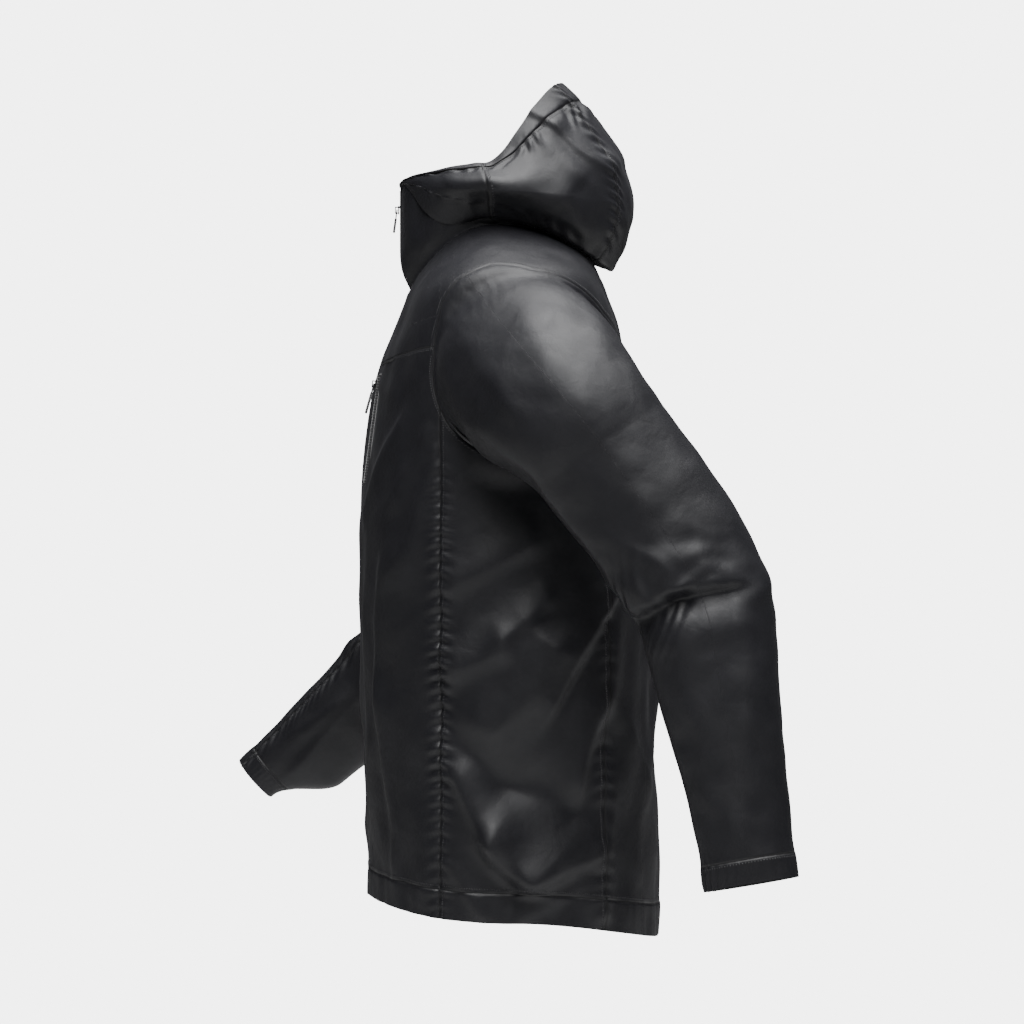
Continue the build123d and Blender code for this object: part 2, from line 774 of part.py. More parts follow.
def cords_and_locks():
    parts = {}
    for name, surface, angle, station in lock_places():
        barrel, plunger, spring = cord_lock(surface, angle, station)
        parts[f"{name}_lock_barrel"] = barrel
        parts[f"{name}_lock_plunger"] = plunger
        parts[f"{name}_lock_spring"] = spring
    half = CORD_THICKNESS / 2
    hem_half = half * HEM_STATION / HEM_HEIGHT
    parts["hem_drawcord"] = cloth(
        body, 6, 354, HEM_CORD_STATION - hem_half, HEM_CORD_STATION + hem_half,
        outer=-LOCK_DEPTH + half, inner=-LOCK_DEPTH - half, columns=60, rows=2,
    )
    hood_half = half / 220
    parts["hood_adjuster_cord"] = cloth(
        hood, 112, 248, HOOD_CORD_STATION - hood_half, HOOD_CORD_STATION + hood_half,
        outer=-LOCK_DEPTH + half, inner=-LOCK_DEPTH - half, columns=30, rows=2,
    )
    return parts


def hang_loop():
    def sag(i, t):
        return -WALL - 0.3 - 11 * math.sin(math.pi * i)

    return cloth(
        collar, 162, 198, 0.30, 0.42, outer=sag, inner=lambda i, t: sag(i, t) - 1.2,
        columns=20, rows=2,
    )


# ---- the whole jacket ---------------------------------------------------------------------
def jacket():
    parts = {}
    parts.update(body_panels())
    parts["side_seam_tapes"] = seam_tapes()
    parts.update(collar_pieces())
    parts.update(hood_pieces())
    for side in (1, -1):
        parts.update(sleeve_pieces(side))
    parts.update(main_zip())
    parts["main_zip_slider"] = slider(main_slider_place())
    parts["main_zip_pull"] = pull_frame(main_slider_place())
    parts["main_zip_pull_grip"] = pull_grip(main_slider_place(), 16.0)
    parts.update(chest_pocket())
    parts["chest_zip_slider"] = slider(chest_slider_place())
    parts["chest_zip_pull"] = pull_frame(chest_slider_place())
    parts["chest_zip_pull_grip"] = pull_grip(chest_slider_place(), 24.0)
    parts.update(cords_and_locks())
    parts["hang_loop"] = hang_loop()
    return parts


def main():
    os.makedirs("parts", exist_ok=True)
    for name, solid in jacket().items():
        export_step(solid, f"parts/{name}.step")
    for side in (1, -1):
        print(side_name(side), "elbow centre", [round(v, 3) for v in elbow_centre(side)])
    place, length = chest_zip_place()
    print("chest zip length", round(length, 2), "up", place.y_dir, "slider", chest_slider_place())
    for name, surface, angle, station in lock_places():
        print(name, "lock at", [round(v, 2) for v in surface(angle, station)])


if __name__ == "__main__":
    main()
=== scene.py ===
"""A hooded shell jacket in its worn shape: cloth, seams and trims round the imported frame."""

import math

import bpy
import numpy as np
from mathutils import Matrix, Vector


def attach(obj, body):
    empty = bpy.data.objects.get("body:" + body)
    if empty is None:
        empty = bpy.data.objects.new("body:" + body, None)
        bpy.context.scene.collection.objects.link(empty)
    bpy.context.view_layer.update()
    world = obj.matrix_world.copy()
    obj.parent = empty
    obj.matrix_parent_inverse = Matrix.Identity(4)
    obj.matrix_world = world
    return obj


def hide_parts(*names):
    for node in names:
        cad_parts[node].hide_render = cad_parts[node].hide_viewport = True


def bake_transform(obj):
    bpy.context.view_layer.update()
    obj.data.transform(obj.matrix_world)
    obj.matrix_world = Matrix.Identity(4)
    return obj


MM = 0.001

# ---- the jacket's shape, in millimetres -----------------------------------------------------
ZIP_CHANNEL = 6.6
ARMHOLE = (43.0, -126.0)      # y and z of the shoulder's axis
ROOT_RADIUS = 95.0
SHOULDER_X = 208.0
ELBOW_DROP = 287.0
ELBOW_BACK = 15.7
FOREARM_LENGTH = 304.0
SLEEVE_SPREAD = 8.0
SWING = {1: (34.4, 9.5), -1: (-20.0, -48.0)}      # upper arm and forearm, degrees back
CLOTH = 0.9                   # thickness of the shown cloth
HEM_STATION = 0.036
CHEST_STATION = 0.735
SIDE_SEAM_Y = -52.0
BACK_SEAM_Y = 122.0
NECK = 1.0                    # torso stations past this one are the collar
SPLIT_ROW_STATION = 0.62      # where the sleeve's two meshes meet
ARMHOLE_ROWS = 14             # rows of the sleeve's mesh that lie on the torso
SLEEVE_COLUMNS = 190
UNDER_ROWS = 12               # rows of the hood's mesh from the neck to its low edge
BODY_LENGTH = 780.0           # of cloth from the hem to the neck, on average
NECK_SCALE = 320.0            # from stations to millimetres beside the neck seam, for both sides
CUFF_STATION = 1.92
SLEEVE_SEAM = 118.0           # the sleeve seam's angle
SLEEVE_DEGREE = 0.9           # of cloth for one degree round the forearm, about
HOOD_HEIGHT = 230.0           # of cloth from the hood's low edge to its top, about
BRIM_STATION = 0.905
HOOD_STRIP = 30.0             # half the centre panel, in degrees
STRIP_DEGREE = 1.9            # of cloth for one degree at the hood's back, about
FRONT_DEGREE = 1.75           # and for one at its front edge
ZIP_GAP = 9.0                 # the hood's flap starts this many degrees from the front
SEAM_FAMILIES = ("seam_upright", "seam_level", "seam_round")
NO_SEAM = 40.0                # millimetres to a seam that isn't there

# station: z front, z side, z back, half width, y front, y back, fullness
TORSO = [
    (0.00, -688, -708, -738, 198, -133, 181, 2.5),
    (0.10, -610, -622, -640, 200, -135, 180, 2.5),
    (0.28, -480, -485, -490, 201, -139, 176, 2.5),
    (0.44, -340, -342, -345, 203, -142, 170, 2.5),
    (0.56, -240, -240, -240, 204, -141, 164, 2.5),
    (0.66, -160, -158, -160, 204, -132, 158, 2.5),
    (0.735, -114, -96, -112, 203, -121, 150, 2.5),
    (0.80, -82, -52, -72, 202, -107, 141, 2.5),
    (0.86, -62, -22, -42, 192, -98, 131, 2.5),
    (0.91, -48, -4, -18, 164, -92, 121, 2.5),
    (0.96, -38, 16, 2, 122, -89, 109, 2.3),
    (1.00, -31, 35, 17, 83, -87.5, 98, 2.0),
    (1.18, -12, 46, 28, 84, -96, 97, 2.0),
    (1.36, 8, 57, 40, 85, -99, 95, 2.0),
    (1.70, 50, 80, 58, 85, -99, 92, 2.0),
    (2.00, 83, 98, 70, 84, -99, 90, 2.0),
]
# station: z side, z back, half width, y side, y back
HOOD = [
    (0.00, 54, -14, 103, 0, 134),
    (0.12, 60, 14, 110, 0, 149),
    (0.32, 70, 58, 118, -2, 156),
    (0.52, 79, 100, 117, -4, 151),
    (0.72, 87, 138, 110, -6, 133),
    (0.88, 94, 170, 101, -7, 106),
    (1.00, 99, 192, 92, -8, 80),
]
# station: out, up, tilt, half width, half depth, shift back
SLEEVE = [
    (0.06, 2, 0, 90, 95, 95, 0),
    (0.14, 24, -22, 75, 82, 94, 1),
    (0.22, 42, -40, 60, 72, 91, 3),
    (0.30, 54, -59, 45, 64, 87, 6),
    (0.38, 61, -78, 30, 58, 83, 9),
    (0.46, 64, -96, 15, 54, 80, 12),
    (0.52, 64, -112, 8, 52, 78, 13),
    (0.76, 77, -200, 8, 48, 75, 15),
    (1.00, 89, -287, 8, 44, 72, 15.7),
]
# station: half width, half depth
FOREARM = [
    (0.00, 44, 72),
    (0.20, 41, 65),
    (0.45, 36, 58),
    (0.75, 29, 51),
    (1.00, 25, 47.5),
]
# y, z of the armhole seam round the shoulder's axis, seen from the wearer's left
ARMHOLE_SEAM = [
    (-55, -157), (-58, -110), (-54, -76), (-49, -54), (-33, -31), (2, -14),
    (45, -20), (86, -32), (121, -62), (142, -90), (144, -130), (132, -170),
    (100, -206), (43, -224), (-10, -210), (-42, -184),
]

# Folds are lines in one view: from, to, the widths of their two sides and their height.
TORSO_FOLDS = {
    "left": [
        (-66, -196, -104, -262, 7, 12, 3.0),
        (-60, -225, -96, -330, 8, 15, 3.0),
        (-52, -300, -22, -210, 10, 16, 2.5),
        (-30, -345, 40, -310, 14, 24, 5.5),
        (12, -405, 58, -368, 12, 20, 5.0),
        (-40, -440, 10, -420, 15, 28, 8.5),
        (10, -500, 62, -420, 22, 44, 14.0),
        (62, -478, 118, -376, 9, 26, 9.0),
        (96, -560, 128, -420, 10, 24, 8.0),
        (122, -690, 132, -560, 9, 18, 4.0),
        (-38, -560, 0, -628, 11, 26, 8.0),
        (0, -628, 54, -660, 12, 34, 12.0),
        (54, -660, 108, -640, 12, 32, 8.5),
        (-42, -490, 28, -560, 20, 28, -5.5),
        (28, -560, 84, -590, 22, 30, -5.5),
        (-44, -655, -14, -700, 7, 14, 3.0),
        (20, -708, 90, -672, 9, 15, 2.5),
    ],
    "front": [
        (150, -330, 128, -470, 9, 16, 4.5),
        (128, -470, 138, -640, 9, 18, 4.5),
        (96, -380, 78, -560, 12, 22, 3.5),
        (52, -300, 40, -520, 14, 18, 2.5),
        (150, -190, 100, -270, 8, 14, 3.0),
        (120, -150, 60, -118, 12, 12, 1.6),
        (-150, -210, -96, -300, 9, 15, 3.2),
        (-140, -330, -92, -470, 10, 18, 4.0),
        (-92, -470, -110, -640, 10, 20, 4.0),
        (-48, -340, -42, -600, 13, 20, 3.0),
        (-120, -560, -60, -620, 11, 20, 3.0),
    ],
    "right": [
        (-60, -200, -20, -330, 9, 16, 4.0),
        (-20, -330, 40, -420, 12, 22, 5.0),
        (90, -230, 20, -380, 10, 18, 4.5),
        (110, -380, 50, -520, 12, 24, 5.5),
        (-40, -450, 10, -560, 13, 24, 5.0),
        (10, -560, 90, -620, 12, 28, 5.5),
        (-44, -600, 0, -690, 9, 18, 3.5),
    ],
    "back": [
        (150, -180, 60, -330, 12, 24, 5.0),
        (-150, -190, -66, -320, 12, 24, 5.0),
        (110, -330, 30, -470, 13, 26, 5.0),
        (-120, -320, -24, -500, 13, 26, 5.0),
        (-20, -420, 90, -560, 14, 28, 4.5),
        (140, -500, 60, -640, 12, 24, 4.0),
        (-130, -500, -70, -690, 12, 24, 4.5),
        (60, -120, -60, -128, 12, 22, 2.5),
        (0, -560, 20, -700, 12, 24, 3.5),
    ],
}
LEFT_SLEEVE_FOLDS = {
    "left": [
        (150, -374, 186, -354, 6, 40, 3.4),
        (186, -354, 224, -345, 6, 44, 3.0),
        (156, -384, 192, -364, 17, 4, -6.5),
        (192, -364, 244, -355, 17, 4, -5.5),
        (-14, -190, 60, -244, 9, 17, 2.6),
        (-40, -150, -18, -232, 8, 16, 2.2),
        (-18, -110, 92, -290, 13, 24, 2.4),
        (40, -70, 150, -260, 16, 26, 2.0),
        (70, -262, 136, -348, 9, 16, 3.2),
        (168, -330, 130, -300, 9, 16, 2.0),
        (214, -318, 170, -322, 10, 14, 1.2),
        (276, -330, 236, -338, 12, 18, 1.2),
        (180, -410, 250, -392, 12, 20, 1.6),
        (196, -420, 214, -520, 10, 20, 2.5),
        (268, -430, 252, -600, 14, 22, 2.2),
        (230, -560, 286, -640, 12, 20, 2.0),
    ],
    "front": [
        (230, -330, 300, -352, 9, 14, 3.5),
        (236, -386, 310, -372, 8, 14, 3.5),
        (230, -200, 262, -300, 10, 18, 3.0),
    ],
    "back": [
        (250, -200, 300, -330, 13, 22, 3.0),
        (300, -380, 330, -560, 12, 22, 2.5),
        (270, -340, 330, -360, 9, 16, 3.0),
    ],
}
RIGHT_SLEEVE_FOLDS = {
    "right": [
        (20, -120, -20, -330, 12, 24, 3.0),
        (-40, -250, 0, -380, 10, 18, 3.0),
        (-70, -410, 0, -390, 6, 16, 5.0),
        (-110, -400, -60, -440, 8, 14, 4.0),
        (-120, -440, -220, -540, 10, 18, 3.0),
        (-150, -520, -240, -600, 9, 16, 2.5),
    ],
    "left": [
        (-90, -420, -200, -520, 10, 18, 3.0),
        (-130, -470, -230, -580, 9, 16, 3.5),
        (-70, -440, -130, -560, 8, 14, 3.5),
        (-180, -500, -236, -540, 7, 13, 2.5),
    ],
    "front": [
        (-240, -300, -300, -420, 10, 18, 3.0),
        (-300, -430, -340, -420, 8, 12, 3.0),
    ],
    "back": [
        (-236, -240, -290, -380, 12, 20, 3.0),
        (-300, -380, -340, -520, 10, 18, 3.0),
    ],
}
HOOD_FOLDS = {
    "left": [
        (40, 158, 64, 139, 5, 14, 2.6),
        (64, 139, 124, 99, 5, 16, 2.8),
        (2, 82, 80, 60, 12, 20, 2.6),
        (-6, 94, 10, 60, 6, 10, 2.0),
        (30, 64, 120, 20, 10, 22, 3.0),
        (60, 110, 140, 66, 12, 22, 2.0),
        (52, 40, 92, 82, 8, 14, 1.8),
        (132, 60, 146, 34, 7, 12, 2.2),
        (-40, 82, -20, 62, 6, 10, 1.8),
    ],
    "right": [
        (40, 158, 64, 139, 5, 14, 2.6),
        (64, 139, 124, 99, 5, 16, 2.8),
        (0, 78, 90, 66, 12, 20, 2.6),
        (20, 60, 110, 16, 10, 22, 3.0),
        (56, 100, 130, 70, 12, 22, 2.0),
    ],
    "back": [
        (-56, 120, 50, 104, 8, 16, 2.2),
        (-70, 60, 60, 40, 14, 22, 3.0),
        (60, 90, 20, -10, 10, 18, 2.0),
    ],
}
VIEWS = {
    "left": (0, 1, (1, 2)),
    "right": (0, -1, (1, 2)),
    "front": (1, -1, (0, 2)),
    "back": (1, 1, (0, 2)),
}


# ---- numbers --------------------------------------------------------------------------------
def smooth(low, high, value):
    t = np.clip((value - low) / (high - low), 0, 1)
    return t * t * (3 - 2 * t)


def bell(value, width):
    return np.exp(-((value / width) ** 2))


def rows_at(table, station):
    """The table's columns at each station, on a smooth curve through its rows."""
    rows = np.array(table, float)
    keys = rows[:, 0]
    last = len(keys) - 1
    i = np.clip(np.searchsorted(keys, station, side="right") - 1, 0, last - 1)
    low, high = rows[i], rows[i + 1]
    before, after = rows[np.maximum(i - 1, 0)], rows[np.minimum(i + 2, last)]
    span = (high - low)[..., :1]
    t = (np.asarray(station, float)[..., None] - low[..., :1]) / span
    rise = (high - low)[..., 1:]
    slope_in = (high - before)[..., 1:] / (high - before)[..., :1] * span
    slope_out = (after - low)[..., 1:] / (after - low)[..., :1] * span
    slope_in = np.where(rise * slope_in <= 0, 0, slope_in)
    slope_out = np.where(rise * slope_out <= 0, 0, slope_out)
    cubic = (3 * rise - 2 * slope_in - slope_out) * t**2 + (slope_in + slope_out - 2 * rise) * t**3
    return np.moveaxis(low[..., 1:] + slope_in * t + cubic, -1, 0)


def turned(points, centre, degrees):
    """Points turned about a line along X; a positive turn swings what hangs down to +Y."""
    c, s = math.cos(math.radians(degrees)), math.sin(math.radians(degrees))
    y, z = points[..., 1] - centre[0], points[..., 2] - centre[1]
    return np.stack([points[..., 0], centre[0] + y * c - z * s, centre[1] + y * s + z * c], -1)


def ripples(points, size, seed, stretch=(1, 1, 1), waves=16):
    """Smooth random heights of about -1 to 1, with features of a size in millimetres."""
    rng = np.random.default_rng(seed)
    total = np.zeros(points.shape[:-1])
    for _ in range(waves):
        direction = rng.normal(size=3)
        direction /= np.linalg.norm(direction)
        direction /= np.array(stretch)
        length = size * rng.uniform(0.65, 1.6)
        total += np.sin(points @ direction * (2 * math.pi / length) + rng.uniform(0, 6.28))
    return total / math.sqrt(waves)


def grid_normals(points, closed=False, hand=1):
    """Unit normals of a grid of rows along a piece and columns round it."""
    if closed:
        across = np.roll(points, -1, axis=1) - np.roll(points, 1, axis=1)
    else:
        across = np.gradient(points, axis=1)
    along = np.gradient(points, axis=0)
    normal = np.cross(across, along) * hand
    return normal / np.maximum(np.linalg.norm(normal, axis=-1, keepdims=True), 1e-9)


def fold_heights(points, normals, tables):
    """Height of the drawn folds at each point, in the views that the cloth faces."""
    wander = 5 * ripples(points, 90, 7, waves=6)
    total = np.zeros(points.shape[:-1])
    for view, folds in tables.items():
        axis, sign, (first, second) = VIEWS[view]
        facing = smooth(0.12, 0.62, sign * normals[..., axis])
        a, b = points[..., first] + wander, points[..., second] + wander * 0.6
        for a0, b0, a1, b1, near, far, height in folds:
            length = math.hypot(a1 - a0, b1 - b0)
            t = ((a - a0) * (a1 - a0) + (b - b0) * (b1 - b0)) / length**2
            across = ((a - a0) * (b1 - b0) - (b - b0) * (a1 - a0)) / length
            past = (t - np.clip(t, 0, 1)) * length
            ends = bell(past, 0.16 * length + 8)
            total += height * ends * facing * bell(across, np.where(across > 0, near, far))
    return total


def puckers(across, along, width, wave, height, seed):
    """Gathers on both sides of a seam, from the distances across it and along it."""
    rng = np.random.default_rng(seed)
    phase = sum(
        rng.uniform(0.8, 1.6) * np.sin(along / rng.uniform(19, 47) + rng.uniform(0, 6.28))
        for _ in range(4)
    )
    lean = np.abs(across) * 0.12
    gather = np.sin(2 * math.pi * along / wave + phase + lean)
    return height * gather * bell(np.abs(across) - 3, width)


# ---- surfaces -------------------------------------------------------------------------------
def torso_ring(angle, station):
    """A torso or collar point: angle 0 is the front, 90 the wearer's left, 180 the back."""
    z_front, z_side, z_back, half_width, y_front, y_back, fullness = rows_at(TORSO, station)
    c, s = np.cos(np.radians(angle)), np.sin(np.radians(angle))
    reach = (np.abs(c) ** fullness + np.abs(s) ** fullness) ** (-1 / fullness)
    z_end = np.where(c > 0, z_front, z_back)
    middle, half_depth = (y_front + y_back) / 2, (y_back - y_front) / 2
    return np.stack([
        half_width * reach * s,
        middle - half_depth * reach * c,
        z_side + (z_end - z_side) * c * c,
    ], -1)


def hood_ring(angle, station):
    """A hood point for angles 90 to 270."""
    z_side, z_back, half_width, y_side, y_back = rows_at(HOOD, station)
    c = np.maximum(-np.cos(np.radians(angle)), 0)
    low_edge = c**1.5
    rise = low_edge + (c * c * (3 - 2 * c) - low_edge) * station
    return np.stack([
        half_width * np.sin(np.radians(angle)),
        y_side + (y_back - y_side) * c,
        z_side + (z_back - z_side) * rise,
    ], -1)


def elbow_of(side):
    hanging = np.array([
        SHOULDER_X + SLEEVE[-1][1], ARMHOLE[0] + ELBOW_BACK, ARMHOLE[1] - ELBOW_DROP,
    ])
    x, y, z = turned(hanging, ARMHOLE, SWING[side][0])
    return np.array([side * x, y, z])


def upper_ring(side, angle, station):
    """Angle 0 is the outside, or the top at the shoulder, 90 the front, 180 the inside."""
    out, down, tilt, half_width, half_depth, back = rows_at(SLEEVE, station)
    c, s, lean = np.cos(np.radians(angle)), np.sin(np.radians(angle)), np.radians(tilt)
    hanging = np.stack([
        SHOULDER_X + out + half_width * c * np.cos(lean),
        ARMHOLE[0] + back - half_depth * s,
        ARMHOLE[1] + down + half_width * c * np.sin(lean),
    ], -1)
    points = turned(hanging, ARMHOLE, SWING[side][0])
    return points * np.array([side, 1, 1])


def forearm_ring(side, angle, station):
    elbow = elbow_of(side)
    half_width, half_depth = rows_at(FOREARM, station)
    c, s, spread = np.cos(np.radians(angle)), np.sin(np.radians(angle)), math.radians(SLEEVE_SPREAD)
    down = FOREARM_LENGTH * station
    hanging = np.stack([
        abs(elbow[0]) + down * math.tan(spread) + half_width * c * math.cos(spread),
        elbow[1] - half_depth * s,
        elbow[2] - down + half_width * c * math.sin(spread),
    ], -1)
    points = turned(hanging, elbow[1:], SWING[side][1])
    return points * np.array([side, 1, 1])


def sleeve_ring(side, angle, station):
    """The whole sleeve: stations 0.06 to 1 above the elbow and 1 to 2 below it."""
    bend = 0.15
    step = 0.004
    top, bottom = 1 - bend, bend
    upper = upper_ring(side, angle, np.minimum(station, top))
    lower = forearm_ring(side, angle, np.maximum(station - 1, bottom))
    leaving = (upper - upper_ring(side, angle, np.minimum(station, top) - step)) / step
    arriving = (forearm_ring(side, angle, np.maximum(station - 1, bottom) + step) - lower) / step
    t = (np.clip(station, 1 - bend, 1 + bend) - 1 + bend)[..., None] / (2 * bend)
    reach = 2 * bend
    joined = (
        (2 * t**3 - 3 * t**2 + 1) * upper
        + (t**3 - 2 * t**2 + t) * leaving * reach
        + (3 * t**2 - 2 * t**3) * lower
        + (t**3 - t**2) * arriving * reach
    )
    inside = (station > 1 - bend) & (station < 1 + bend)
    return np.where(inside[..., None], joined, np.where((station <= 1)[..., None], upper, lower))


# ---- meshes ---------------------------------------------------------------------------------
def arc_lengths(points, axis):
    steps = np.linalg.norm(np.diff(points, axis=axis), axis=-1)
    start = np.zeros_like(np.take(steps, [0], axis=axis))
    return np.concatenate([start, np.cumsum(steps, axis=axis)], axis=axis)


def quads_of(rows, columns, closed):
    index = np.arange(rows * columns).reshape(rows, columns)
    left = index if closed else index[:, :-1]
    right = np.roll(index, -1, axis=1) if closed else index[:, 1:]
    return np.stack([left[:-1], right[:-1], right[1:], left[1:]], -1)


def rim_quads(quads, count):
    """Faces that join the outer and the inner skin along every free edge."""
    edges = np.concatenate([quads[:, [k, (k + 1) % 4]] for k in range(4)])
    keys = np.sort(edges, axis=1) @ np.array([count, 1])
    _, first, uses = np.unique(keys, return_index=True, return_counts=True)
    free = edges[first[uses == 1]]
    a, b = free[:, 0], free[:, 1]
    return np.stack([b, a, a + count, b + count], -1)


def cloth_mesh(name, points, marks, paint, closed=False, hand=1, keep=None, thickness=CLOTH):
    """A double-skinned cloth mesh from a grid of points in millimetres. marks are numbers for
    each point that the shell's material reads."""
    rows, columns = points.shape[:2]
    count = rows * columns
    normals = grid_normals(points, closed, hand)
    quads = quads_of(rows, columns, closed)
    if keep is not None:
        quads = quads[keep]
    quads = quads.reshape(-1, 4)
    if hand < 0:
        quads = quads[:, ::-1]
    rim = rim_quads(quads, count)
    faces = np.concatenate([quads, quads[:, ::-1] + count, rim])
    slots = np.concatenate([np.zeros(len(quads)), np.ones(len(quads)), np.zeros(len(rim))])
    used, faces = np.unique(faces, return_inverse=True)
    faces = faces.reshape(-1, 4)
    outer = points.reshape(-1, 3) * MM
    flat_normals = normals.reshape(-1, 3)
    vertices = np.concatenate([outer, outer - flat_normals * thickness * MM])[used]
    both_normals = np.concatenate([flat_normals, -flat_normals])[used]

    mesh = bpy.data.meshes.new(name)
    mesh.from_pydata(vertices.tolist(), [], faces.tolist())
    mesh.polygons.foreach_set("material_index", slots.astype(np.int32))
    mesh.polygons.foreach_set("use_smooth", np.ones(len(faces), bool))
    u = arc_lengths(points, 1) * MM
    v = arc_lengths(points, 0) * MM
    flat_uv = np.stack([u.ravel(), v.ravel()], -1)
    both_uv = np.concatenate([flat_uv, flat_uv])[used]
    layer = mesh.uv_layers.new(name="UVMap")
    layer.data.foreach_set("uv", both_uv[faces.ravel()].ravel().astype(np.float32))
    for mark, values in marks.items():
        attribute = mesh.attributes.new(mark, "FLOAT", "POINT")
        doubled = np.concatenate([values.ravel(), values.ravel()])[used]
        attribute.data.foreach_set("value", doubled.astype(np.float32))
    mesh.materials.append(paint["shell"])
    mesh.materials.append(paint["inner"])
    mesh.update()
    mesh.normals_split_custom_set_from_vertices(both_normals.tolist())
    thing = bpy.data.objects.new(name, mesh)
    bpy.context.scene.collection.objects.link(thing)
    return thing


# ---- materials ------------------------------------------------------------------------------
class Nodes:
    """Short names for building a material's nodes."""

    def __init__(self, name):
        self.material = bpy.data.materials.new(name)
        self.material.use_nodes = True
        self.tree = self.material.node_tree
        self.shader = self.tree.nodes["Principled BSDF"]

    def put(self, target, value):
        if isinstance(value, bpy.types.NodeSocket):
            self.tree.links.new(value, target)
        else:
            target.default_value = value

    def math(self, operation, *values):
        node = self.tree.nodes.new("ShaderNodeMath")
        node.operation = operation
        for socket, value in zip(node.inputs, values):
            self.put(socket, value)
        return node.outputs[0]

    def noise(self, coordinates, scale, detail=3.0, roughness=0.5, distortion=0.0):
        node = self.tree.nodes.new("ShaderNodeTexNoise")
        self.put(node.inputs["Vector"], coordinates)
        node.inputs["Scale"].default_value = scale
        node.inputs["Detail"].default_value = detail
        node.inputs["Roughness"].default_value = roughness
        node.inputs["Distortion"].default_value = distortion
        return node.outputs["Fac"]

    def wave(self, coordinates, scale, direction):
        node = self.tree.nodes.new("ShaderNodeTexWave")
        node.bands_direction = direction
        self.put(node.inputs["Vector"], coordinates)
        node.inputs["Scale"].default_value = scale
        return node.outputs["Fac"]

    def coordinates(self, kind):
        return self.tree.nodes.new("ShaderNodeTexCoord").outputs[kind]

    def mark(self, name):
        node = self.tree.nodes.new("ShaderNodeAttribute")
        node.attribute_name = name
        return node.outputs["Fac"]

    def bump(self, height, distance, strength=1.0, normal=None):
        node = self.tree.nodes.new("ShaderNodeBump")
        node.inputs["Distance"].default_value = distance
        node.inputs["Strength"].default_value = strength
        self.put(node.inputs["Height"], height)
        if normal is not None:
            self.put(node.inputs["Normal"], normal)
        return node.outputs["Normal"]

    def mix(self, factor, first, second):
        node = self.tree.nodes.new("ShaderNodeMix")
        node.data_type = "RGBA"
        self.put(node.inputs[0], factor)
        self.put(node.inputs[6], first)
        self.put(node.inputs[7], second)
        return node.outputs[2]

    def span(self, value, low, high):
        """A number of 0 to 1 spread over low to high."""
        node = self.tree.nodes.new("ShaderNodeMapRange")
        self.put(node.inputs["Value"], value)
        node.inputs["To Min"].default_value = low
        node.inputs["To Max"].default_value = high
        return node.outputs["Result"]


def seam_profile(nodes):
    """The sewn seams' groove, and the stitches beside it, from the distances to three families
    of seams."""
    along = nodes.mark("seam_along")
    stitch = nodes.math("SINE", nodes.math("MULTIPLY", along, 2 * math.pi / 2.6))
    groove, stitches = 0.0, 0.0
    for family in SEAM_FAMILIES:
        across = nodes.mark(family)
        deep = nodes.math("EXPONENT", nodes.math("MULTIPLY", nodes.math("MULTIPLY", across, across), -0.55))
        side = nodes.math("SUBTRACT", across, 3.4)
        row = nodes.math("EXPONENT", nodes.math("MULTIPLY", nodes.math("MULTIPLY", side, side), -4.0))
        groove = nodes.math("MAXIMUM", groove, deep)
        stitches = nodes.math("MAXIMUM", stitches, row)
    return groove, nodes.math("MULTIPLY", stitches, nodes.math("MAXIMUM", stitch, 0.0))


def shell_cloth(name, dark, light, roughness):
    """Plain-woven nylon with a soft shine, fine crinkles and sewn seams."""
    n = Nodes(name)
    uv, place = n.coordinates("UV"), n.coordinates("Object")
    weave = n.math("ADD", n.wave(uv, 260.0, "X"), n.wave(uv, 260.0, "Y"))
    crinkle = n.noise(place, 42.0, detail=3.0, roughness=0.45, distortion=0.3)
    soft = n.noise(place, 12.0, detail=2.0, roughness=0.45, distortion=0.3)
    groove, stitches = seam_profile(n)
    sewn = n.math("SUBTRACT", n.math("MULTIPLY", stitches, 0.8), groove)
    normal = n.bump(weave, 0.00006, 0.35)
    normal = n.bump(crinkle, 0.0018, 0.5, normal)
    normal = n.bump(soft, 0.005, 0.4, normal)
    normal = n.bump(sewn, 0.0009, 0.9, normal)
    wear = n.noise(place, 5.0, detail=4.0, roughness=0.6)
    colour = n.mix(n.span(wear, -0.4, 1.4), dark, light)
    colour = n.mix(n.math("MULTIPLY", stitches, 0.5), colour, (0.05, 0.05, 0.052, 1))
    # Painted shade: the colour darkens to near black along the seams' groove, where shade falls in the
    # recess.
    colour = n.mix(n.math("MULTIPLY", groove, 0.75), colour, (0.004, 0.004, 0.0045, 1))
    n.put(n.shader.inputs["Base Color"], colour)
    n.put(n.shader.inputs["Roughness"], n.span(crinkle, roughness - 0.07, roughness + 0.1))
    n.put(n.shader.inputs["Normal"], normal)
    n.shader.inputs["Specular IOR Level"].default_value = 0.3
    n.shader.inputs["Sheen Weight"].default_value = 0.025
    n.shader.inputs["Sheen Roughness"].default_value = 0.45
    n.shader.inputs["Sheen Tint"].default_value = (0.62, 0.62, 0.66, 1)
    return n.material


def inner_cloth():
    """The coated inside of the shell: matt, with a fine grid print."""
    n = Nodes("inner_cloth")
    uv = n.coordinates("UV")
    grid = n.math("MAXIMUM", n.wave(uv, 70.0, "X"), n.wave(uv, 70.0, "Y"))
    lines = n.math("POWER", grid, 14.0)
    crinkle = n.noise(n.coordinates("Object"), 45.0, detail=4.0, distortion=0.5)
    colour = n.mix(lines, (0.012, 0.012, 0.013, 1), (0.026, 0.026, 0.028, 1))
    n.put(n.shader.inputs["Base Color"], colour)
    n.put(n.shader.inputs["Normal"], n.bump(crinkle, 0.003, 0.4))
    n.put(n.shader.inputs["Roughness"], n.span(crinkle, 0.5, 0.7))
    return n.material


